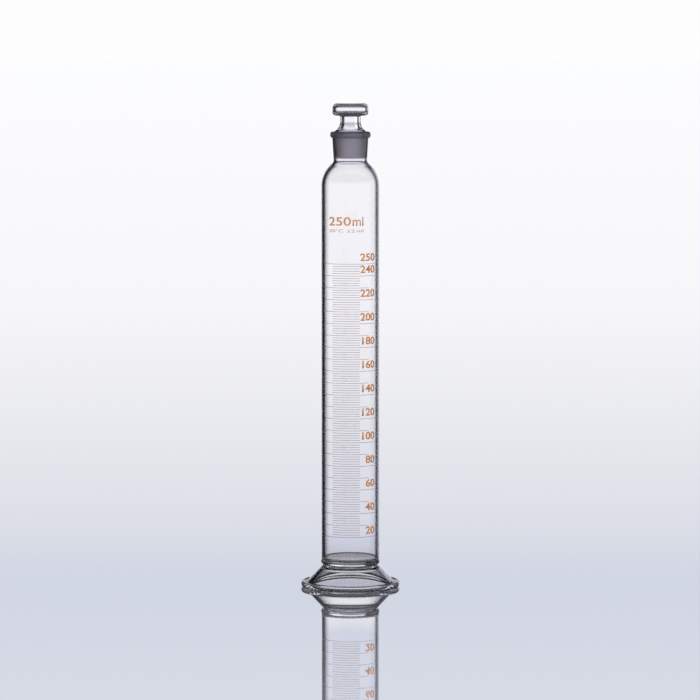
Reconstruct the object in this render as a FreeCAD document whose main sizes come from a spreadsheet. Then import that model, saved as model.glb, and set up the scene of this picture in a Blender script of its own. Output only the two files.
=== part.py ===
import FreeCAD, Part
import math
import os
import Sketcher

# Stoppered measuring cylinder of clear borosilicate glass. Millimetres, +Z up along the glass axis,
# origin on the standing surface at the centre of the foot. The print faces -Y.

os.makedirs("parts", exist_ok=True)
doc = FreeCAD.newDocument("measuring_cylinder")

# Driving dimensions, each written once and kept in the sheet.
SIZES = [
    # Graduated tube
    ("tube_diameter", 42.0, "outside of the tube"),
    ("wall_thickness", 1.9, "tube and dome"),
    ("floor_height", 20.8, "inside bottom above the standing surface"),
    ("floor_bevel", 2.6, "between the inside bottom and the bore"),
    ("headroom", 56.2, "from the top mark to the start of the dome"),
    # Neck and conical ground joint
    ("neck_wall", 1.4, "glass around the narrow end of the joint"),
    ("neck_run", 1.0, "flare from the neck into the dome, across"),
    ("neck_rise", 1.5, "flare from the neck into the dome, upwards"),
    ("neck_length", 2.3, "plain neck below the joint"),
    ("joint_diameter", 24.0, "large end of the socket"),
    ("joint_length", 20.0, "ground length of the socket"),
    ("joint_taper", 10.0, "length in which the diameter grows by one"),
    ("socket_wall", 1.6, "glass around the large end"),
    ("mouth_bevel", 0.3, "inner edge of the mouth"),
    ("collar_swell", 1.25, "how far the collar stands out from the socket"),
    ("collar_height", 5.0, "collar at the mouth"),
    ("collar_bevel", 1.4, "both outer edges of the collar"),
    # Foot
    ("foot_diameter", 73.0, "outside of the rim"),
    ("rim_height", 4.0, "crest of the rim"),
    ("rim_edge_bevel", 0.9, "lower edge of the rim"),
    ("crest_bevel", 1.2, "upper edge of the rim"),
    ("crest_width", 0.5, "flat of the crest"),
    ("moat_slope", 0.9, "from the crest down into the moat, across"),
    ("moat_depth", 0.55, "below the crest"),
    ("moat_width", 1.6, "bottom of the moat"),
    ("waist_diameter", 40.2, "narrowest place, under the weld bead"),
    ("waist_height", 14.8, "top of the foot's cone"),
    ("hollow_diameter", 60.2, "hollow under the foot, which follows its cone"),
    ("hollow_step_diameter", 33.2, "where the hollow grows flatter"),
    ("hollow_step_height", 12.6, "height of that place"),
    ("hollow_top_diameter", 24.0, "flat top of the hollow"),
    ("hollow_depth", 13.6, "top of the hollow"),
    # Weld bead between foot and tube
    ("weld_swell", 0.8, "how far the bead stands out from the tube"),
    ("weld_start", 0.8, "from the waist up to the bead"),
    ("weld_bevel", 1.2, "height of the bead's slopes"),
    ("weld_height", 1.7, "height of the bead's middle"),
    # Stopper
    ("seat_depth", 1.0, "large end of the stopper's cone below the mouth"),
    ("seat_gap", 0.03, "between the two ground cones, on the radius"),
    ("plug_length", 18.0, "ground length of the stopper"),
    ("plug_edge", 0.4, "bevel at the stopper's lower edge"),
    ("plug_bore", 17.6, "hollow of the stopper's cone"),
    ("plug_bore_depth", 16.0, "straight part of that hollow"),
    ("plug_roof", 5.0, "from the hollow of the cone in to the stem's bore"),
    ("flare_height", 8.3, "from the cone up to the stem"),
    ("flare_bend_height", 4.7, "where the flare grows steeper"),
    ("flare_bend_swell", 1.1, "how far that place stands out from the stem"),
    ("stem_diameter", 15.0, "stem of the stopper"),
    ("stem_bore", 8.4, "hollow of the stem"),
    ("stem_length", 4.2, "straight stem above the flare"),
    ("grip_diameter", 26.4, "flat round grip"),
    ("grip_height", 9.0, "flat round grip"),
    ("grip_top_bevel", 2.0, "upper edge of the grip"),
    ("grip_lower_bevel", 1.6, "lower edge of the grip"),
    ("grip_wall", 1.8, "glass of the grip"),
    # Scale
    ("capacity", 250.0, "top mark, in millilitres"),
    ("first_mark", 20.0, "lowest mark, in millilitres"),
    ("main_step", 10.0, "millilitres between main marks"),
    ("mark_left", 86.0, "marks, degrees left of the front"),
    ("mark_right", 39.0, "marks with no number, degrees right of the front"),
    ("numbered_right", 57.0, "marks with a number, degrees right of the front"),
    ("line_width", 0.3, "height of a printed line"),
    ("enamel_thickness", 0.1, "fired enamel on the glass"),
]

# Sizes that follow from the driving ones. Heights of the marks come from the volume of the bore.
DERIVED = [
    ("tube_radius", "tube_diameter / 2"),
    ("bore_radius", "tube_radius - wall_thickness"),
    ("bore_area", "pi * bore_radius ^ 2"),
    ("ml_height", "1000 / bore_area"),
    ("bevel_volume", "pi * floor_bevel ^ 2 * (bore_radius - floor_bevel / 3)"),
    ("zero_height", "floor_height + bevel_volume / bore_area"),
    ("first_height", "zero_height + first_mark * ml_height"),
    ("main_height", "main_step * ml_height"),
    ("second_height", "first_height + main_height"),
    ("numbered_height", "2 * main_height"),
    ("top_height", "zero_height + capacity * ml_height"),
    ("main_spaces", "round((capacity - first_mark) / main_step)"),
    ("plain_count", "floor(main_spaces / 2)"),
    ("numbered_count", "floor((main_spaces - 1) / 2) + 1"),
    ("enamel_radius", "tube_radius + enamel_thickness"),
    ("half_line", "line_width / 2"),
    ("floor_flat", "bore_radius - floor_bevel"),
    ("bore_start", "floor_height + floor_bevel"),
    ("dome_start", "top_height + headroom"),
    ("joint_radius", "joint_diameter / 2"),
    ("throat_radius", "joint_radius - joint_length / joint_taper / 2"),
    ("neck_radius", "throat_radius + neck_wall"),
    ("dome_end_radius", "neck_radius + neck_run"),
    ("dome_end", "dome_start + sqrt(tube_radius ^ 2 - dome_end_radius ^ 2)"),
    ("neck_start", "dome_end + neck_rise"),
    ("throat_dome_radius", "throat_radius + neck_run"),
    ("throat_dome_end", "dome_start + sqrt(bore_radius ^ 2 - throat_dome_radius ^ 2)"),
    ("throat_start", "throat_dome_end + neck_rise"),
    ("joint_start", "neck_start + neck_length"),
    ("mouth_height", "joint_start + joint_length"),
    ("mouth_edge_height", "mouth_height - mouth_bevel"),
    ("mouth_edge_radius", "joint_radius - mouth_bevel / joint_taper / 2"),
    ("mouth_radius", "joint_radius + mouth_bevel"),
    ("socket_radius", "joint_radius + socket_wall"),
    ("collar_radius", "socket_radius + collar_swell"),
    ("collar_top_radius", "collar_radius - collar_bevel"),
    ("collar_start", "mouth_height - collar_height"),
    ("collar_foot_radius",
     "socket_radius - collar_height * (socket_radius - neck_radius) / joint_length"),
    ("collar_lower_edge", "collar_start + collar_bevel"),
    ("collar_upper_edge", "mouth_height - collar_bevel"),
    ("foot_radius", "foot_diameter / 2"),
    ("foot_flat_radius", "foot_radius - rim_edge_bevel"),
    ("rim_edge_height", "rim_height - crest_bevel"),
    ("crest_radius", "foot_radius - crest_bevel"),
    ("crest_inner_radius", "crest_radius - crest_width"),
    ("moat_height", "rim_height - moat_depth"),
    ("moat_radius", "crest_inner_radius - moat_slope"),
    ("cone_foot_radius", "moat_radius - moat_width"),
    ("waist_radius", "waist_diameter / 2"),
    ("hollow_radius", "hollow_diameter / 2"),
    ("hollow_step_radius", "hollow_step_diameter / 2"),
    ("hollow_top_radius", "hollow_top_diameter / 2"),
    ("weld_radius", "tube_radius + weld_swell"),
    ("weld_foot", "waist_height + weld_start"),
    ("weld_low", "weld_foot + weld_bevel"),
    ("weld_high", "weld_low + weld_height"),
    ("tube_start", "weld_high + weld_bevel"),
    ("plug_top", "mouth_height - seat_depth"),
    ("plug_foot", "plug_top - plug_length"),
    ("plug_edge_height", "plug_foot + plug_edge"),
    ("plug_radius", "joint_radius - seat_depth / joint_taper / 2 - seat_gap"),
    ("plug_edge_radius", "plug_radius - (plug_length - plug_edge) / joint_taper / 2"),
    ("plug_foot_radius", "plug_edge_radius - plug_edge"),
    ("stem_radius", "stem_diameter / 2"),
    ("flare_bend_radius", "stem_radius + flare_bend_swell"),
    ("flare_bend", "plug_top + flare_bend_height"),
    ("stem_start", "plug_top + flare_height"),
    ("grip_underside", "stem_start + stem_length"),
    ("grip_top", "grip_underside + grip_height"),
    ("grip_radius", "grip_diameter / 2"),
    ("grip_lower_radius", "grip_radius - grip_lower_bevel"),
    ("grip_lower_edge", "grip_underside + grip_lower_bevel"),
    ("grip_top_radius", "grip_radius - grip_top_bevel"),
    ("grip_upper_edge", "grip_top - grip_top_bevel"),
    ("plug_bore_radius", "plug_bore / 2"),
    ("plug_bore_top", "plug_foot + plug_bore_depth"),
    ("stem_bore_radius", "stem_bore / 2"),
    ("stem_bore_start", "plug_bore_top + plug_roof"),
    ("grip_hollow_radius", "grip_radius - grip_wall"),
    ("grip_hollow_floor", "grip_underside + grip_wall"),
    ("grip_hollow_roof", "grip_top - grip_wall"),
]

sheet = doc.addObject("Spreadsheet::Sheet", "Sizes")
row = 1
for alias, value, meaning in SIZES:
    sheet.set(f"A{row}", alias)
    sheet.set(f"B{row}", str(value))
    sheet.set(f"C{row}", meaning)
    sheet.setAlias(f"B{row}", alias)
    row += 1
for alias, formula in DERIVED:
    sheet.set(f"A{row}", alias)
    sheet.set(f"B{row}", "=" + formula)
    sheet.setAlias(f"B{row}", alias)
    row += 1
doc.recompute()

# Points of a sketch edge, and the sketch's own origin and axes.
START, END, CENTRE = range(1, 4)
AXES = LEVEL_AXIS = -START
ORIGIN_POINT, UPRIGHT_AXIS = START, -END


def size(alias):
    """The number in one cell of the sheet; zero is the axis or the standing surface."""
    return float(getattr(sheet, alias)) if alias else 0.0


def origin_feature(body, role):
    """One of the body's own planes or axes."""
    return [f for f in body.Origin.OriginFeatures if f.Role == role][0]


def new_body(name):
    """A piece of the glassware, named as its file."""
    body = doc.addObject("PartDesign::Body", name)
    body.Label = name
    return body


def new_sketch(body, name, plane):
    """A half section: distance from the glass axis across, height up."""
    sketch = body.newObject("Sketcher::SketchObject", name)
    sketch.AttachmentSupport = [(origin_feature(body, plane), "")]
    sketch.MapMode = "FlatFace"
    sketch.Visibility = False
    return sketch


def tie(sketch, kind, places, alias):
    """Adds one dimension and binds it to a cell."""
    index = sketch.addConstraint(Sketcher.Constraint(kind, *places, size(alias)))
    sketch.setExpression(f"Constraints[{index}]", f"Sizes.{alias}")


def place(sketch, edge, point, radius, height):
    """Puts a point of an edge at a named radius and height."""
    if radius:
        tie(sketch, "DistanceX", (AXES, ORIGIN_POINT, edge, point), radius)
    else:
        sketch.addConstraint(Sketcher.Constraint("PointOnObject", edge, point, UPRIGHT_AXIS))
    if height:
        tie(sketch, "DistanceY", (AXES, ORIGIN_POINT, edge, point), height)
    else:
        sketch.addConstraint(Sketcher.Constraint("PointOnObject", edge, point, LEVEL_AXIS))


def half_section(body, name, corners, domes=()):
    """A closed outline through named corners. From a corner in domes the edge is round, about the
    axis at that corner's height, and the next corner is where it reaches its radius."""
    sketch = new_sketch(body, name, "XZ_Plane")
    spots = [FreeCAD.Vector(size(radius), size(height), 0) for radius, height in corners]
    edges = []
    for index, spot in enumerate(spots):
        following = spots[(index + 1) % len(spots)]
        if corners[index] in domes:
            centre = FreeCAD.Vector(0, spot.y, 0)
            circle = Part.Circle(centre, FreeCAD.Vector(0, 0, 1), spot.x)
            end = math.atan2(following.y - spot.y, following.x)
            shape = Part.ArcOfCircle(circle, 0, end)
        else:
            shape = Part.LineSegment(spot, following)
        edges.append(sketch.addGeometry(shape, False))
    for index, edge in enumerate(edges):
        following = edges[(index + 1) % len(edges)]
        sketch.addConstraint(Sketcher.Constraint("Coincident", edge, END, following, START))
    for index, (radius, height) in enumerate(corners):
        if corners[index - 1] in domes:
            tie(sketch, "DistanceX", (AXES, ORIGIN_POINT, edges[index], START), radius)
        else:
            place(sketch, edges[index], START, radius, height)
        if corners[index] in domes:
            place(sketch, edges[index], CENTRE, None, height)
    return sketch


def turn(body, kind, name, sketch):
    """A full turn of a half section about the glass axis, added or cut away."""
    before = body.Tip.Shape.Volume if body.Tip else 0.0
    feature = body.newObject(kind, name)
    feature.Profile = sketch
    feature.ReferenceAxis = (sketch, ["V_Axis"])
    feature.Angle = 360
    doc.recompute()
    if abs(feature.Shape.Volume - before) < 0.1:
        raise RuntimeError(f"{name} changes nothing")


def make_cylinder():
    """Pressed foot, tube with its dome, and the socket with its collar, fused to one piece."""
    body = new_body("cylinder")
    foot = half_section(body, "foot_section", [
        (None, None),
        ("foot_flat_radius", None),
        ("foot_radius", "rim_edge_bevel"),
        ("foot_radius", "rim_edge_height"),
        ("crest_radius", "rim_height"),
        ("crest_inner_radius", "rim_height"),
        ("moat_radius", "moat_height"),
        ("cone_foot_radius", "moat_height"),
        ("waist_radius", "waist_height"),
        ("waist_radius", "weld_foot"),
        ("weld_radius", "weld_low"),
        ("weld_radius", "weld_high"),
        ("tube_radius", "tube_start"),
        (None, "tube_start"),
    ])
    turn(body, "PartDesign::Revolution", "foot", foot)
    tube = half_section(body, "tube_section", [
        (None, "tube_start"),
        ("tube_radius", "tube_start"),
        ("tube_radius", "dome_start"),
        ("dome_end_radius", "dome_end"),
        ("neck_radius", "neck_start"),
        ("neck_radius", "joint_start"),
        (None, "joint_start"),
    ], domes=[("tube_radius", "dome_start")])
    turn(body, "PartDesign::Revolution", "tube", tube)
    socket = half_section(body, "socket_section", [
        (None, "joint_start"),
        ("neck_radius", "joint_start"),
        ("collar_foot_radius", "collar_start"),
        ("collar_radius", "collar_lower_edge"),
        ("collar_radius", "collar_upper_edge"),
        ("collar_top_radius", "mouth_height"),
        (None, "mouth_height"),
    ])
    turn(body, "PartDesign::Revolution", "socket", socket)
    bore = half_section(body, "bore_section", [
        (None, "floor_height"),
        ("floor_flat", "floor_height"),
        ("bore_radius", "bore_start"),
        ("bore_radius", "dome_start"),
        ("throat_dome_radius", "throat_dome_end"),
        ("throat_radius", "throat_start"),
        ("throat_radius", "joint_start"),
        ("mouth_edge_radius", "mouth_edge_height"),
        ("mouth_radius", "mouth_height"),
        (None, "mouth_height"),
    ], domes=[("bore_radius", "dome_start")])
    turn(body, "PartDesign::Groove", "bore", bore)
    hollow = half_section(body, "hollow_section", [
        (None, None),
        ("hollow_radius", None),
        ("hollow_step_radius", "hollow_step_height"),
        ("hollow_top_radius", "hollow_depth"),
        (None, "hollow_depth"),
    ])
    turn(body, "PartDesign::Groove", "hollow", hollow)
    return body


def make_stopper():
    """Hollow stopper: ground cone, open below, flare, stem and flat round grip."""
    body = new_body("stopper")
    plug = half_section(body, "plug_section", [
        (None, "plug_foot"),
        ("plug_foot_radius", "plug_foot"),
        ("plug_edge_radius", "plug_edge_height"),
        ("plug_radius", "plug_top"),
        ("flare_bend_radius", "flare_bend"),
        ("stem_radius", "stem_start"),
        ("stem_radius", "grip_underside"),
        (None, "grip_underside"),
    ])
    turn(body, "PartDesign::Revolution", "plug", plug)
    grip = half_section(body, "grip_section", [
        (None, "grip_underside"),
        ("grip_lower_radius", "grip_underside"),
        ("grip_radius", "grip_lower_edge"),
        ("grip_radius", "grip_upper_edge"),
        ("grip_top_radius", "grip_top"),
        (None, "grip_top"),
    ])
    turn(body, "PartDesign::Revolution", "grip", grip)
    inside = half_section(body, "inside_section", [
        (None, "plug_foot"),
        ("plug_bore_radius", "plug_foot"),
        ("plug_bore_radius", "plug_bore_top"),
        ("stem_bore_radius", "stem_bore_start"),
        ("stem_bore_radius", "grip_hollow_floor"),
        ("grip_hollow_radius", "grip_hollow_floor"),
        ("grip_hollow_radius", "grip_hollow_roof"),
        (None, "grip_hollow_roof"),
    ])
    turn(body, "PartDesign::Groove", "inside", inside)
    return body


def add_mark(body, name, height, reach):
    """One printed line: a low ridge of enamel around the front of the tube."""
    sketch = new_sketch(body, f"{name}_section", "YZ_Plane")
    inner, crest = -size("tube_radius"), -size("enamel_radius")
    middle, half = size(height), size("half_line")
    low = FreeCAD.Vector(inner, middle - half, 0)
    high = FreeCAD.Vector(inner, middle + half, 0)
    top = FreeCAD.Vector(crest, middle, 0)
    base = sketch.addGeometry(Part.LineSegment(low, high), False)
    upper = sketch.addGeometry(Part.LineSegment(high, top), False)
    lower = sketch.addGeometry(Part.LineSegment(top, low), False)
    for edge, following in ((base, upper), (upper, lower), (lower, base)):
        sketch.addConstraint(Sketcher.Constraint("Coincident", edge, END, following, START))
    sketch.addConstraint(Sketcher.Constraint("Vertical", base))
    tie(sketch, "DistanceX", (base, START, AXES, ORIGIN_POINT), "tube_radius")
    tie(sketch, "DistanceX", (upper, END, AXES, ORIGIN_POINT), "enamel_radius")
    tie(sketch, "DistanceY", (AXES, ORIGIN_POINT, upper, END), height)
    tie(sketch, "DistanceY", (base, START, upper, END), "half_line")
    tie(sketch, "DistanceY", (upper, END, base, END), "half_line")
    mark = body.newObject("PartDesign::Revolution", name)
    mark.Profile = sketch
    mark.ReferenceAxis = (sketch, ["V_Axis"])
    mark.Type = "TwoAngles"
    mark.setExpression("Angle", f"Sizes.{reach}")
    mark.setExpression("Angle2", "Sizes.mark_left")
    doc.recompute()
    return mark


def repeat_upwards(body, name, mark, count):
    """The same line again at every second main step."""
    pattern = body.newObject("PartDesign::LinearPattern", name)
    pattern.Originals = [mark]
    pattern.Direction = (origin_feature(body, "Z_Axis"), [""])
    pattern.Mode = "Spacing"
    pattern.setExpression("Offset", "Sizes.numbered_height")
    pattern.setExpression("Occurrences", f"Sizes.{count}")
    body.Tip = pattern
    doc.recompute()


def make_graduations():
    """Main marks, one every ten millilitres. Those with a number reach further to the right."""
    body = new_body("graduations")
    body.AllowCompound = True
    numbered = add_mark(body, "numbered_mark", "first_height", "numbered_right")
    repeat_upwards(body, "numbered_marks", numbered, "numbered_count")
    plain = add_mark(body, "plain_mark", "second_height", "mark_right")
    repeat_upwards(body, "plain_marks", plain, "plain_count")
    add_mark(body, "top_mark", "top_height", "numbered_right")
    return body


pieces = [make_cylinder(), make_stopper(), make_graduations()]
doc.recompute()

for item in doc.Objects:
    if "Invalid" in item.State or "Error" in item.State:
        raise RuntimeError(f"{item.Name} did not build: {item.State}")
for piece in pieces:
    if piece.Shape.isNull() or not piece.Shape.isValid():
        raise RuntimeError(f"{piece.Label} is not a sound solid")
    piece.Shape.exportStep(f"parts/{piece.Label}.step")
    print(piece.Label, len(piece.Shape.Solids), "solids", round(piece.Shape.Volume, 1), "mm3")
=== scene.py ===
import bpy
import math
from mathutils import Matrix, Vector


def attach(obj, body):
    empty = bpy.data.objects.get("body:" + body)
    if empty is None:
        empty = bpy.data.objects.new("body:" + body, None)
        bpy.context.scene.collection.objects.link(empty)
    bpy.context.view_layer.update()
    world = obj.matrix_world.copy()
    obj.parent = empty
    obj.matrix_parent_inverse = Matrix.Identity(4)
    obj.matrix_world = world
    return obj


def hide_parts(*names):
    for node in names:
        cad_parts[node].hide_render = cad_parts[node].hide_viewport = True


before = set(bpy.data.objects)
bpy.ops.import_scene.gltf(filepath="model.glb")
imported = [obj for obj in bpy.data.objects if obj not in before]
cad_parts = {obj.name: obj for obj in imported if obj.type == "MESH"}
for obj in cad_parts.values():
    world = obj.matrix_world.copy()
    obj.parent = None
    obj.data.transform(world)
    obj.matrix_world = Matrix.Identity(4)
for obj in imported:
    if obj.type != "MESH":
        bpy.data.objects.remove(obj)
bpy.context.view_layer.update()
mm = 0.001
print("stage: frame loaded")

# Shared sizes of the glassware, millimetres, z above the standing surface
glass = {
    "tubeRadius": 21.3,
    "boreRadius": 19.45,
    "floorHeight": 20.8,
    "floorRounding": 1.2,
    "domeStart": 295.47,
    "mouthHeight": 335.44,
    "tubePlaces": (40, 80, 120, 160, 200, 240, 270),
    "turnSteps": 192,
    "smoothBelow": 28,
    "mergeWithin": 0.002,
}


# Helpers for half sections

def arcPoints(centre, radius, start, end, steps):
    # places along a round stretch of a section, angles in degrees from outwards
    places = []
    for i in range(steps + 1):
        a = math.radians(start + (end - start) * i / steps)
        places.append((centre[0] + radius * math.cos(a), centre[1] + radius * math.sin(a)))
    return places


def between(start, end, steps):
    # places that part a straight line into even steps, without its ends
    return [(start[0] + (end[0] - start[0]) * i / steps, start[1] + (end[1] - start[1]) * i / steps)
            for i in range(1, steps)]


def touchingArcs(reach, across):
    # two arcs that touch: the rise between their centres and the angle at which they meet
    rise = math.sqrt(reach ** 2 - across ** 2)
    return rise, math.degrees(math.atan2(rise, across))


# Helpers for pieces

def clearSelection():
    if bpy.context.object and bpy.context.object.mode != "OBJECT":
        bpy.ops.object.mode_set(mode="OBJECT")
    bpy.ops.object.select_all(action="DESELECT")


def joinPieces(name, pieces):
    clearSelection()
    for piece in pieces:
        piece.select_set(True)
    bpy.context.view_layer.objects.active = pieces[0]
    bpy.ops.object.join()
    pieces[0].name = pieces[0].data.name = name
    return pieces[0]


def drawSection(name, places):
    # one point, extruded from place to place in the XZ plane
    clearSelection()
    bpy.ops.mesh.primitive_plane_add(size=mm, location=(0, 0, 0))
    piece = bpy.context.object
    piece.name = piece.data.name = name
    bpy.ops.object.mode_set(mode="EDIT")
    bpy.ops.mesh.merge(type="CENTER")
    bpy.ops.transform.translate(value=(places[0][0] * mm, 0, places[0][1] * mm))
    for a, b in zip(places, places[1:]):
        step = ((b[0] - a[0]) * mm, 0, (b[1] - a[1]) * mm)
        bpy.ops.mesh.extrude_region_move(TRANSFORM_OT_translate={"value": step})
    return piece


def turnSection(name, places):
    # a closed glass skin, turned once about the axis
    piece = drawSection(name, places)
    bpy.ops.mesh.select_all(action="SELECT")
    bpy.ops.mesh.spin(steps=glass["turnSteps"], angle=2 * math.pi, center=(0, 0, 0), axis=(0, 0, 1))
    bpy.ops.mesh.select_all(action="SELECT")
    bpy.ops.mesh.remove_doubles(threshold=glass["mergeWithin"] * mm)
    bpy.ops.mesh.normals_make_consistent(inside=False)
    bpy.ops.object.mode_set(mode="OBJECT")
    bpy.ops.object.shade_smooth_by_angle(angle=math.radians(glass["smoothBelow"]))
    return piece


# Cylinder: foot, tube, dome, neck and socket in one skin
foot = {
    "radius": 36.5,
    "edgeRounding": 1.8,
    "crestRounding": 1.4,
    "crestHeight": 2.6,
    "moatOffset": 1.95,
    "moatRounding": 2.1,
    "coneTop": (19.9, 16.4),
    "hollowRadius": 30.1,
    "hollowFlat": (0, 4, 8),
    "hollowDepth": 14.0,
    "hollowSlope": 1.25,
    "hollowRounding": 7.0,
    "hollowEdge": 1.6,
    "weldHeight": 18.6,
    "weldRadius": 19.6,
    "weldRounding": 2.2,
    "weldLift": 0.2,
    "weldTurn": 2,
}
neck = {
    "radius": 12.4,
    "throat": 11.0,
    "fillet": 3.0,
    "innerFillet": 5.0,
    "jointStart": 315.44,
    "jointRadius": 12.0,
    "jointSteps": 6,
    "collarRadius": 14.85,
    "collarHeight": 5.0,
    "collarRounding": 2.2,
    "collarTurn": -72,
    "mouthEdge": 0.3,
}


def hollowSection():
    # under the foot, from the middle outwards: flat top, round shoulder, cone, round edge
    depth, slope, edge = foot["hollowDepth"], foot["hollowSlope"], foot["hollowEdge"]
    rounding = foot["hollowRounding"]
    lean = math.degrees(math.atan(slope))
    bend = math.tan(math.radians(lean / 2))
    corner = foot["hollowRadius"] - depth / slope
    section = [(radius, depth) for radius in foot["hollowFlat"]]
    section += arcPoints((corner - rounding * bend, depth - rounding), rounding, 90, 90 - lean, steps=8)
    section += arcPoints((foot["hollowRadius"] + edge * bend, edge), edge, 270 - lean, 270, steps=4)
    return section


def rimSection():
    # rim, crest and moat, then the tangent up to the waist
    rounding, crestRounding, moatRounding = (foot["edgeRounding"], foot["crestRounding"],
                                             foot["moatRounding"])
    section = arcPoints((foot["radius"] - rounding, rounding), rounding, 270, 360, steps=6)
    crest = (foot["radius"] - crestRounding, foot["crestHeight"])
    rise, meeting = touchingArcs(crestRounding + moatRounding, -foot["moatOffset"])
    moat = (crest[0] - foot["moatOffset"], crest[1] + rise)
    section += arcPoints(crest, crestRounding, 0, meeting, steps=8)
    away = (moat[0] - foot["coneTop"][0], moat[1] - foot["coneTop"][1])
    lean = math.asin(moatRounding / math.hypot(*away))
    touch = math.degrees(math.atan2(away[1], away[0]) - lean) - 90
    section += arcPoints(moat, moatRounding, 180 + meeting, touch + 360, steps=6)[1:]
    section.append(foot["coneTop"])
    return section


def weldSection():
    rounding = foot["weldRounding"]
    under = foot["weldHeight"] - foot["coneTop"][1] - foot["weldLift"]
    start = -math.degrees(math.asin(min(1, under / rounding)))
    end = math.degrees(math.acos((glass["tubeRadius"] - foot["weldRadius"]) / rounding))
    return arcPoints((foot["weldRadius"], foot["weldHeight"]), rounding, start + foot["weldTurn"], end,
                     steps=12)


def outerSection():
    # tube, dome and neck fillet, neck
    tube, dome = glass["tubeRadius"], glass["domeStart"]
    section = [(tube, z) for z in glass["tubePlaces"]]
    side = neck["radius"] + neck["fillet"]
    rise, meeting = touchingArcs(tube + neck["fillet"], side)
    section += arcPoints((0, dome), tube, 0, meeting, steps=22)
    section += arcPoints((side, dome + rise), neck["fillet"], 180 + meeting, 180, steps=6)[1:]
    section.append((neck["radius"], neck["jointStart"]))
    return section


def socketSection():
    # collar, mouth and the ground cone
    mouth, rounding, joint = glass["mouthHeight"], neck["collarRounding"], neck["jointRadius"]
    side = neck["collarRadius"] - rounding
    section = arcPoints((side, mouth - neck["collarHeight"] + rounding), rounding, neck["collarTurn"], 0,
                        steps=7)
    section += arcPoints((side, mouth - rounding), rounding, 0, 90, steps=9)
    section += [(joint + neck["mouthEdge"], mouth), (joint, mouth - neck["mouthEdge"])]
    narrowEnd = (neck["throat"], neck["jointStart"])
    section += between((joint, mouth), narrowEnd, neck["jointSteps"])
    section.append(narrowEnd)
    return section


def innerSection():
    # throat fillet, inside of the dome, bore and floor
    bore, dome, corner = glass["boreRadius"], glass["domeStart"], glass["floorRounding"]
    side = neck["throat"] + neck["innerFillet"]
    rise, meeting = touchingArcs(bore + neck["innerFillet"], side)
    section = arcPoints((side, dome + rise), neck["innerFillet"], 180, 180 + meeting, steps=6)
    section += arcPoints((0, dome), bore, meeting, 0, steps=20)[1:]
    section += [(bore, z) for z in reversed(glass["tubePlaces"])]
    section += arcPoints((bore - corner, glass["floorHeight"] + corner), corner, 360, 270, steps=8)
    section.append((0, glass["floorHeight"]))
    return section


cylinder = turnSection("glassCylinder", hollowSection() + rimSection() + weldSection() + outerSection()
                       + socketSection() + innerSection())
print("stage: cylinder turned,", len(cylinder.data.polygons), "faces")

# Stopper: hollow, blown, with a ground cone
stopperSizes = {
    "coneTop": (11.92, 334.44),
    "coneFoot": (11.02, 316.84),
    "coneSteps": 6,
    "edge": 0.4,
    "shoulder": 1.9,
    "flare": 8.0,
    "stem": 7.5,
    "stemFillet": 0.8,
    "grip": 13.2,
    "gripUnderside": 346.94,
    "gripTop": 355.94,
    "gripFlat": 6.0,
    "gripTopRounding": 3.0,
    "gripTopTurn": 88,
    "gripLowerRounding": 2.4,
    "gripWall": 1.8,
    "hollowRounding": 1.5,
    "stemBore": 5.2,
    "stemBoreEdge": 0.7,
    "innerFlare": 6.0,
    "innerShoulder": 2.5,
    "innerDrop": 1.0,
    "wall": 2.2,
}


def stopperOutside():
    # ground cone, then shoulder and flare as two arcs that touch, then stem and grip
    s = stopperSizes
    coneTop, coneFoot, edge = s["coneTop"], s["coneFoot"], s["edge"]
    under, top, grip, flat = s["gripUnderside"], s["gripTop"], s["grip"], s["gripFlat"]
    section = [(coneFoot[0] - s["wall"], coneFoot[1] - edge), (coneFoot[0] - edge, coneFoot[1] - edge),
               coneFoot]
    section += between(coneFoot, coneTop, s["coneSteps"])
    centre = coneTop[0] - s["shoulder"]
    side = s["stem"] + s["flare"]
    rise, meeting = touchingArcs(s["shoulder"] + s["flare"], side - centre)
    section += arcPoints((centre, coneTop[1]), s["shoulder"], 0, meeting, steps=8)
    section += arcPoints((side, coneTop[1] + rise), s["flare"], 180 + meeting, 180, steps=10)[1:]
    fillet, lower, upper = s["stemFillet"], s["gripLowerRounding"], s["gripTopRounding"]
    section += arcPoints((s["stem"] + fillet, under - fillet), fillet, 180, 90, steps=4)
    section += arcPoints((grip - lower, under + lower), lower, 270, 360, steps=9)
    section += arcPoints((grip - upper, top - upper), upper, 0, s["gripTopTurn"], steps=11)
    section += [(flat, top), (0, top)]
    return section


def stopperInside():
    # from the grip's hollow down through the stem to the open cone
    s = stopperSizes
    wall, r, bore, lip = s["gripWall"], s["hollowRounding"], s["stemBore"], s["stemBoreEdge"]
    roof, floor, outer = s["gripTop"] - wall, s["gripUnderside"] + wall, s["grip"] - wall
    section = [(0, roof), (s["gripFlat"], roof)]
    section += arcPoints((outer - r, roof - r), r, 90, 0, steps=5)
    section += arcPoints((outer - r, floor + r), r, 360, 270, steps=5)
    section += arcPoints((bore + lip, floor - lip), lip, 90, 180, steps=4)
    flare, shoulder = s["innerFlare"], s["innerShoulder"]
    low = (s["coneTop"][0] - s["wall"] - shoulder, s["coneTop"][1] - s["innerDrop"])
    side = bore + flare
    rise, meeting = touchingArcs(shoulder + flare, side - low[0])
    section += arcPoints((side, low[1] + rise), flare, 180, 180 + meeting, steps=8)
    section += arcPoints(low, shoulder, meeting, 0, steps=8)[1:]
    section.append((s["coneFoot"][0] - s["wall"], s["coneFoot"][1] - s["edge"]))
    return section


stopper = turnSection("glassStopper", stopperOutside() + stopperInside())
print("stage: stopper turned,", len(stopper.data.polygons), "faces")

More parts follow.
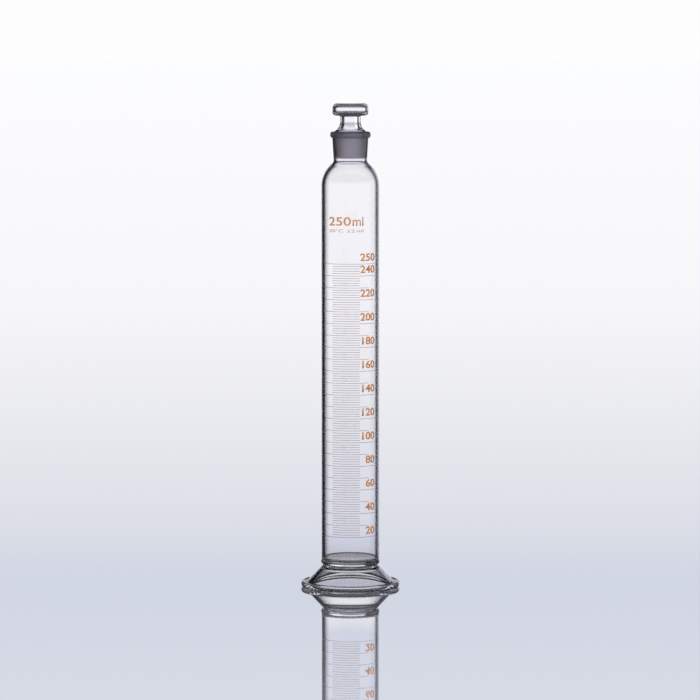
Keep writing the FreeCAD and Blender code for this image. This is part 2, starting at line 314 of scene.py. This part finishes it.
# Print: enamel lines on the front of the tube, spans in degrees round it from the front
scale = {
    "zeroHeight": 21.138,
    "perMl": 0.8725,
    "firstMark": 20,
    "capacity": 250,
    "fineStep": 2,
    "mainStep": 10,
    "numberedStep": 20,
    "lineHeight": 0.25,
    "enamel": 0.1,
    "fineSpan": (-38.0, 19.0),
    "plainSpan": (-86.0, 39.0),
    "numberedSpan": (-86.0, 57.0),
    "spinStep": 4,
    "leastSteps": 6,
}


def levelOf(ml):
    return scale["zeroHeight"] + ml * scale["perMl"]


def thickenPrint(piece):
    shell = piece.modifiers.new("enamel", "SOLIDIFY")
    shell.thickness = scale["enamel"] * mm
    shell.offset = 1
    bpy.ops.object.modifier_apply(modifier=shell.name)


def addLine(name, ml, span, repeats):
    # an upright edge spun round the tube, given the enamel's thickness, then repeated upwards
    start, end = span
    z, half, radius = levelOf(ml), scale["lineHeight"] / 2, glass["tubeRadius"]
    piece = drawSection(name, [(radius, z - half), (radius, z + half)])
    bpy.ops.mesh.select_all(action="SELECT")
    bpy.ops.transform.rotate(value=math.radians(90 - start), orient_axis="Z",
                             center_override=(0, 0, 0))
    bpy.ops.mesh.spin(steps=max(scale["leastSteps"], int((end - start) / scale["spinStep"])),
                      angle=math.radians(end - start), center=(0, 0, 0), axis=(0, 0, -1))
    bpy.ops.object.mode_set(mode="OBJECT")
    thickenPrint(piece)
    for count, apart in repeats:
        row = piece.modifiers.new("row", "ARRAY")
        row.count = count
        row.use_relative_offset = False
        row.use_constant_offset = True
        row.constant_offset_displace = (0, 0, apart * scale["perMl"] * mm)
        bpy.ops.object.modifier_apply(modifier=row.name)
    return piece


first, capacity = scale["firstMark"], scale["capacity"]
fine, main, numbered = scale["fineStep"], scale["mainStep"], scale["numberedStep"]
fineLines = addLine("fineLines", first + fine, scale["fineSpan"],
                    [(main // fine - 1, fine), ((capacity - first) // main, main)])
numberedLines = addLine("numberedLines", first, scale["numberedSpan"],
                        [((capacity - first) // numbered + 1, numbered)])
plainLines = addLine("plainLines", first + main, scale["plainSpan"],
                     [((capacity - first) // numbered, numbered)])
topLine = addLine("topLine", capacity, scale["numberedSpan"], [])
mainLines = joinPieces("mainLines", [numberedLines, plainLines, topLine])
print("stage: lines printed")

# Numbers and words, heights in millimetres, sides in degrees round the tube
lettering = {
    "numeralHeight": 5.75,
    "numeralRaise": 2.1,
    "numeralWidth": 1.13,
    "numeralRight": 54.5,
    "numeralBolder": 0.02,
    "labelHeight": 6.4,
    "labelLevel": 267.2,
    "labelLeft": -46.0,
    "labelMiddle": 1.2,
    "labelRight": 26.3,
    "labelBolder": 0.012,
    "unitTaller": 1.04,
    "unitGap": 3.0,
    "unitBolder": 0.006,
    "noteHeight": 2.4,
    "noteLevel": 262.4,
    "drawnSize": 10.0,
    "wordSpace": 0.6,
    "curveSteps": 4,
    "strip": 0.7,
}


def wrapWord(name, word, base, height, right, left=None, width=1.0, bolder=0.0):
    # flat letters, cut into upright strips, then laid round the tube
    clearSelection()
    bpy.ops.object.text_add(location=(0, 0, 0))
    text = bpy.context.object
    text.data.body = word
    text.data.size = lettering["drawnSize"]
    text.data.offset = bolder * lettering["drawnSize"]
    text.data.space_word = lettering["wordSpace"]
    text.data.resolution_u = lettering["curveSteps"]
    bpy.ops.object.convert(target="MESH")
    piece = bpy.context.object
    piece.name = piece.data.name = name
    xs = [v.co.x for v in piece.data.vertices]
    ys = [v.co.y for v in piece.data.vertices]
    bottom, far = min(ys), max(xs)
    radius, strip = glass["tubeRadius"], lettering["strip"]
    tall = height / (max(ys) - bottom)
    if left is None:
        wide = tall * width
    else:
        wide = math.radians(right - left) * radius / (far - min(xs))
    for v in piece.data.vertices:
        v.co.x = (v.co.x - far) * wide
        v.co.y = (v.co.y - bottom) * tall
    bpy.ops.object.mode_set(mode="EDIT")
    total = (far - min(xs)) * wide
    for i in range(1, int(total / strip)):
        bpy.ops.mesh.select_all(action="SELECT")
        bpy.ops.mesh.bisect(plane_co=(-i * strip, 0, 0), plane_no=(1, 0, 0))
    bpy.ops.object.mode_set(mode="OBJECT")
    for v in piece.data.vertices:
        angle = math.radians(right) + v.co.x / radius
        v.co = (radius * mm * math.sin(angle), -radius * mm * math.cos(angle), (base + v.co.y) * mm)
    thickenPrint(piece)
    return piece


def addNumerals():
    words = []
    for ml in list(range(first, capacity, numbered)) + [capacity]:
        words.append(wrapWord(f"numeral{ml}", str(ml), levelOf(ml) + lettering["numeralRaise"],
                              lettering["numeralHeight"], lettering["numeralRight"],
                              width=lettering["numeralWidth"], bolder=lettering["numeralBolder"]))
    return joinPieces("numerals", words)


def addLabel():
    t = lettering
    amount = wrapWord("capacityLabel", "250", t["labelLevel"], t["labelHeight"], t["labelMiddle"],
                      left=t["labelLeft"], bolder=t["labelBolder"])
    unit = wrapWord("unitLabel", "ml", t["labelLevel"], t["labelHeight"] * t["unitTaller"],
                    t["labelRight"], left=t["labelMiddle"] + t["unitGap"], bolder=t["unitBolder"])
    return joinPieces("capacityLabel", [amount, unit])


numerals = addNumerals()
label = addLabel()
note = wrapWord("temperatureNote", "20°C  ±2 ml", lettering["noteLevel"], lettering["noteHeight"],
                lettering["labelRight"], left=lettering["labelLeft"])
print("stage: numbers printed")


# Materials

def fillRamp(ramp, stops):
    ramp.elements[0].position, ramp.elements[0].color = stops[0][0], (*stops[0][1], 1)
    ramp.elements[1].position, ramp.elements[1].color = stops[-1][0], (*stops[-1][1], 1)
    for position, colour in stops[1:-1]:
        step = ramp.elements.new(position)
        step.color = (*colour, 1)


def newMaterial(name):
    material = bpy.data.materials.new(name)
    material.use_nodes = True
    nodes = material.node_tree.nodes
    return material, nodes, material.node_tree.links, nodes["Principled BSDF"]


def addGrain(nodes, links, size, detail=2.0):
    place = nodes.new("ShaderNodeTexCoord")
    grain = nodes.new("ShaderNodeTexNoise")
    grain.inputs["Scale"].default_value = size
    grain.inputs["Detail"].default_value = detail
    links.new(place.outputs["Object"], grain.inputs["Vector"])
    return grain


glassFinish = {
    "ior": 1.473,
    # painted shade: from looked at squarely to looked at along the surface, the glass's colour darkens
    # towards its edges
    "paintedEdgeShade": [(0.0, (0.99, 0.985, 0.998)), (0.5, (0.99, 0.985, 0.998)), (0.61, (0.5, 0.51, 0.54)),
               (0.69, (0.11, 0.11, 0.14)), (1.0, (0.02, 0.02, 0.03))],
    "groundColour": (0.82, 0.78, 0.85, 1),
    "groundGrain": 2600,
    "groundDetail": 4,
    "groundRoughness": (0.42, 0.62),
    "groundBump": 0.25,
    "groundDepth": 0.00003,
}
enamelFinish = {
    "orange": (0.92, 0.38, 0.10),
    "pale": (1.0, 0.54, 0.48),
    "light": (0.92, 0.43, 0.16),
    "darker": (0.86, 0.82, 0.8),
    "toneFrom": 0.3,
    "toneTo": 0.75,
    "grain": 900,
    "roughness": 0.42,
}


def clearGlass():
    material, nodes, links, shader = newMaterial("clearGlass")
    # painted shade: the base colour goes dark where the surface is seen edge-on
    glance = nodes.new("ShaderNodeLayerWeight")
    glance.inputs["Blend"].default_value = 0.5
    edge = nodes.new("ShaderNodeValToRGB")
    fillRamp(edge.color_ramp, glassFinish["paintedEdgeShade"])
    links.new(glance.outputs["Facing"], edge.inputs["Fac"])
    links.new(edge.outputs["Color"], shader.inputs["Base Color"])
    shader.inputs["Roughness"].default_value = 0.0
    shader.inputs["IOR"].default_value = glassFinish["ior"]
    shader.inputs["Transmission Weight"].default_value = 1.0
    return material


def groundGlass():
    material, nodes, links, shader = newMaterial("groundGlass")
    shader.inputs["Base Color"].default_value = glassFinish["groundColour"]
    shader.inputs["IOR"].default_value = glassFinish["ior"]
    shader.inputs["Transmission Weight"].default_value = 1.0
    grain = addGrain(nodes, links, glassFinish["groundGrain"], glassFinish["groundDetail"])
    spread = nodes.new("ShaderNodeMapRange")
    spread.inputs["To Min"].default_value = glassFinish["groundRoughness"][0]
    spread.inputs["To Max"].default_value = glassFinish["groundRoughness"][1]
    links.new(grain.outputs["Fac"], spread.inputs["Value"])
    links.new(spread.outputs["Result"], shader.inputs["Roughness"])
    bump = nodes.new("ShaderNodeBump")
    bump.inputs["Strength"].default_value = glassFinish["groundBump"]
    bump.inputs["Distance"].default_value = glassFinish["groundDepth"]
    links.new(grain.outputs["Fac"], bump.inputs["Height"])
    links.new(bump.outputs["Normal"], shader.inputs["Normal"])
    return material


def enamelPrint(name, colour):
    material, nodes, links, shader = newMaterial(name)
    grain = addGrain(nodes, links, enamelFinish["grain"])
    tone = nodes.new("ShaderNodeValToRGB")
    dark = tuple(c * share for c, share in zip(colour, enamelFinish["darker"]))
    fillRamp(tone.color_ramp, [(enamelFinish["toneFrom"], dark), (enamelFinish["toneTo"], colour)])
    links.new(grain.outputs["Fac"], tone.inputs["Fac"])
    links.new(tone.outputs["Color"], shader.inputs["Base Color"])
    shader.inputs["Roughness"].default_value = enamelFinish["roughness"]
    return material


# What is ground: heights from and to, radii from and to
groundRings = {
    "socket": (315.5, 335.1, 10.8, 12.1),
    "collar": (329.5, 335.3, 12.5, 16.0),
    "stopper": (316.9, 334.4, 10.8, 12.0),
}


def grindRing(piece, low, high, inner, outer):
    # gives the faces between two heights and two radii the second material
    for face in piece.data.polygons:
        x, y, z = face.center
        radius = math.hypot(x, y)
        if low * mm < z < high * mm and inner * mm < radius < outer * mm:
            face.material_index = 1


def finishPiece(piece, *materials):
    piece.data.materials.clear()
    for material in materials:
        piece.data.materials.append(material)


clear, ground = clearGlass(), groundGlass()
orange = enamelPrint("orangeEnamel", enamelFinish["orange"])
pale = enamelPrint("paleEnamel", enamelFinish["pale"])
light = enamelPrint("lightEnamel", enamelFinish["light"])
finishPiece(cylinder, clear, ground)
finishPiece(stopper, clear, ground)
finishPiece(mainLines, pale)
finishPiece(fineLines, pale)
finishPiece(numerals, orange)
finishPiece(label, light)
finishPiece(note, light)
grindRing(cylinder, *groundRings["socket"])
grindRing(cylinder, *groundRings["collar"])
grindRing(stopper, *groundRings["stopper"])
print("stage: materials")

# Everything rides on the one body
for piece, slotName in ((cylinder, "clear_glass"), (stopper, "stopper_glass"),
                        (mainLines, "enamel"), (fineLines, "enamel"), (numerals, "enamel"),
                        (label, "enamel"), (note, "enamel")):
    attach(piece, "root")
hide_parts("cylinder")
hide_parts("stopper")
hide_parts("graduations")

# Studio: pale table that mirrors, bright backdrop with dark flags beside it
studio = {
    "tableRadius": 60.0,
    "tableDrop": 0.00002,
    "mattColour": (0.35, 0.36, 0.42, 1),
    "mattShare": 0.15,
    "mirrorColour": (0.985, 0.99, 1, 1),
    "mirrorRoughness": 0.02,
    "mirrorIor": 1.5,
    "mirrorGain": 2.15,
    "mirrorMost": 0.97,
    # the table as the glass sees it: metres from the axis, and how bright it is at either; the brighter
    # level near the axis is a painted pool of light under the foot
    "paintedPoolPlaces": (0.020, 0.027),
    "paintedPoolLevels": (0.35, 0.08),
    # tone of table and backdrop: metres from the axis, degrees above the table, colour
    "tones": [
        (0.12, 8.3, (0.650, 0.680, 0.776)),
        (0.25, 7.72, (0.700, 0.725, 0.790)),
        (0.51, 7.11, (0.755, 0.765, 0.820)),
        (0.91, 6.34, (0.800, 0.805, 0.845)),
        (1.41, 5.57, (0.850, 0.850, 0.880)),
        (3.0, 4.03, (0.945, 0.940, 0.960)),
        (10.6, 1.73, (0.975, 0.972, 0.980)),
        (50.0, 0.4, (0.985, 0.985, 0.985)),
    ],
    # the table's ramp takes the logarithm of the distance, raised and divided by these
    "toneRaise": 1.2,
    "toneDecades": 3.0,
    # backdrop above the tones: degrees, colour
    "highTones": [(12, (0.74, 0.76, 0.82)), (15, (0.4, 0.4, 0.44)), (20, (0.03, 0.032, 0.045)),
                  (60, (0.014, 0.015, 0.024))],
    "highest": 60.0,
    # degrees to the right of straight behind the object, and how bright that side is
    "sides": [(-180, 0.95), (-84, 0.9), (-74, 0.015), (-22, 0.015), (-18, 1.0), (9, 1.0), (14, 1.5),
              (24, 1.5), (30, 0.8), (36, 0.015), (59, 0.015), (67, 1.0), (180, 0.95)],
    "brightest": 3.0,
    # name, place in metres, share of the key lamp's power
    "lamps": [("keyLamp", (1.6, -2.2, 2.0), 1.0), ("fillLamp", (-2.0, -1.6, 1.6), 0.6),
              ("backLamp", (0.8, 2.4, 1.8), 0.5)],
    "keyPower": 56.0,
    "lampSize": 1.2,
    "lampAim": 0.17,
}


def mathNode(tree, operation, first, second=None, third=None, clamp=False):
    node = tree.nodes.new("ShaderNodeMath")
    node.operation = operation
    node.use_clamp = clamp
    for socket, value in zip(node.inputs, (first, second, third)):
        if isinstance(value, (int, float)):
            socket.default_value = value
        elif value is not None:
            tree.links.new(value, socket)
    return node.outputs[0]


def tableMaterial():
    material = bpy.data.materials.new("paleTable")
    material.use_nodes = True
    tree = material.node_tree
    nodes, links = tree.nodes, tree.links
    nodes.clear()
    place = nodes.new("ShaderNodeTexCoord")
    far = nodes.new("ShaderNodeVectorMath")
    far.operation = "LENGTH"
    links.new(place.outputs["Object"], far.inputs[0])
    # logarithm of the distance, so that the tone grows evenly towards the horizon
    raised, decades = studio["toneRaise"], studio["toneDecades"]
    share = mathNode(tree, "LOGARITHM", mathNode(tree, "ADD", far.outputs["Value"], mm), 10.0)
    share = mathNode(tree, "MULTIPLY_ADD", share, 1 / decades, raised / decades, clamp=True)
    tone = nodes.new("ShaderNodeValToRGB")
    fillRamp(tone.color_ramp, [((math.log10(metres) + raised) / decades, colour)
                               for metres, degrees, colour in studio["tones"]])
    links.new(share, tone.inputs["Fac"])
    glow = nodes.new("ShaderNodeEmission")
    links.new(tone.outputs["Color"], glow.inputs["Color"])
    # through the glass the table is dark when looked at steeply, and mirrors the backdrop; near the axis
    # it glows brighter, a painted pool of light under the foot
    path = nodes.new("ShaderNodeLightPath")
    paintedPool = nodes.new("ShaderNodeMapRange")
    paintedPool.inputs["From Min"].default_value, paintedPool.inputs["From Max"].default_value = studio["paintedPoolPlaces"]
    paintedPool.inputs["To Min"].default_value, paintedPool.inputs["To Max"].default_value = studio["paintedPoolLevels"]
    links.new(far.outputs["Value"], paintedPool.inputs["Value"])
    links.new(mathNode(tree, "MAXIMUM", path.outputs["Is Camera Ray"], paintedPool.outputs["Result"]),
              glow.inputs["Strength"])
    matt = nodes.new("ShaderNodeBsdfDiffuse")
    matt.inputs["Color"].default_value = studio["mattColour"]
    seen = nodes.new("ShaderNodeMixShader")
    seen.inputs["Fac"].default_value = studio["mattShare"]
    links.new(glow.outputs[0], seen.inputs[1])
    links.new(matt.outputs[0], seen.inputs[2])
    mirror = nodes.new("ShaderNodeBsdfGlossy")
    mirror.inputs["Roughness"].default_value = studio["mirrorRoughness"]
    mirror.inputs["Color"].default_value = studio["mirrorColour"]
    glance = nodes.new("ShaderNodeFresnel")
    glance.inputs["IOR"].default_value = studio["mirrorIor"]
    amount = mathNode(tree, "MULTIPLY", glance.outputs[0], studio["mirrorGain"])
    surface = nodes.new("ShaderNodeMixShader")
    links.new(mathNode(tree, "MINIMUM", amount, studio["mirrorMost"]), surface.inputs["Fac"])
    links.new(seen.outputs[0], surface.inputs[1])
    links.new(mirror.outputs[0], surface.inputs[2])
    out = nodes.new("ShaderNodeOutputMaterial")
    links.new(surface.outputs[0], out.inputs["Surface"])
    return material


def studioWorld():
    world = bpy.data.worlds.new("studio")
    world.use_nodes = True
    tree = world.node_tree
    nodes, links = tree.nodes, tree.links
    nodes.clear()
    place = nodes.new("ShaderNodeTexCoord")
    parts = nodes.new("ShaderNodeSeparateXYZ")
    links.new(place.outputs["Generated"], parts.inputs[0])
    # tone by height above the horizon
    highest = studio["highest"]
    height = mathNode(tree, "MULTIPLY", mathNode(tree, "ARCSINE", parts.outputs["Z"]), 180 / math.pi)
    tone = nodes.new("ShaderNodeValToRGB")
    lowTones = [(degrees, colour) for metres, degrees, colour in reversed(studio["tones"])]
    fillRamp(tone.color_ramp, [(degrees / highest, colour)
                               for degrees, colour in lowTones + studio["highTones"]])
    links.new(mathNode(tree, "DIVIDE", height, highest, clamp=True), tone.inputs["Fac"])
    # strength by side, but the camera itself sees the plain backdrop
    turn = mathNode(tree, "ARCTAN2", parts.outputs["X"], parts.outputs["Y"])
    around = nodes.new("ShaderNodeValToRGB")
    fillRamp(around.color_ramp, [(degrees / 360 + 0.5, (level / studio["brightest"],) * 3)
                                 for degrees, level in studio["sides"]])
    links.new(mathNode(tree, "MULTIPLY_ADD", turn, 0.5 / math.pi, 0.5), around.inputs["Fac"])
    rays = nodes.new("ShaderNodeLightPath")
    level = mathNode(tree, "MULTIPLY", around.outputs["Color"], studio["brightest"])
    back = nodes.new("ShaderNodeBackground")
    links.new(tone.outputs["Color"], back.inputs["Color"])
    links.new(mathNode(tree, "MAXIMUM", level, rays.outputs["Is Camera Ray"]), back.inputs["Strength"])
    out = nodes.new("ShaderNodeOutputWorld")
    links.new(back.outputs[0], out.inputs["Surface"])
    return world


def softLamp(name, place, power):
    data = bpy.data.lights.new(name, "AREA")
    data.shape = "SQUARE"
    data.size = studio["lampSize"]
    data.energy = power
    lamp = bpy.data.objects.new(name, data)
    bpy.context.scene.collection.objects.link(lamp)
    lamp.location = place
    aim = (-place[0], -place[1], studio["lampAim"] - place[2])
    lamp.rotation_mode = "QUATERNION"
    lamp.rotation_quaternion = Vector(aim).to_track_quat("-Z", "Y")
    lamp.visible_glossy = lamp.visible_transmission = False


clearSelection()
bpy.ops.mesh.primitive_circle_add(vertices=96, radius=studio["tableRadius"], fill_type="TRIFAN",
                                  location=(0, 0, -studio["tableDrop"]))
table = bpy.context.object
table.name = table.data.name = "table"
table.data.materials.append(tableMaterial())
bpy.context.scene.world = studioWorld()
for name, place, share in studio["lamps"]:
    softLamp(name, place, studio["keyPower"] * share)

# Camera: metres, degrees, and the lens in millimetres
cameraSet = {
    "pitch": 4.8,
    "distance": 2.740,
    "lookHeight": 0.1748,
    "lens": 191.56,
    "sensor": 36.0,
    "shift": -0.0006,
    "clip": (0.1, 300.0),
}


def addCamera():
    data = bpy.data.cameras.new("camera")
    camera = bpy.data.objects.new("camera", data)
    bpy.context.scene.collection.objects.link(camera)
    pitch, distance = math.radians(cameraSet["pitch"]), cameraSet["distance"]
    camera.location = (0, -distance * math.cos(pitch),
                       cameraSet["lookHeight"] + distance * math.sin(pitch))
    camera.rotation_euler = (math.pi / 2 - pitch, 0, 0)
    data.lens = cameraSet["lens"]
    data.sensor_width = cameraSet["sensor"]
    data.shift_x = cameraSet["shift"]
    data.clip_start, data.clip_end = cameraSet["clip"]
    return camera


bpy.context.scene.camera = addCamera()
bpy.context.scene.view_settings.view_transform = "Standard"
bpy.context.scene.cycles.max_bounces = 32
bpy.context.scene.cycles.transmission_bounces = 28
bpy.context.scene.cycles.glossy_bounces = 16
print("stage: studio and camera")
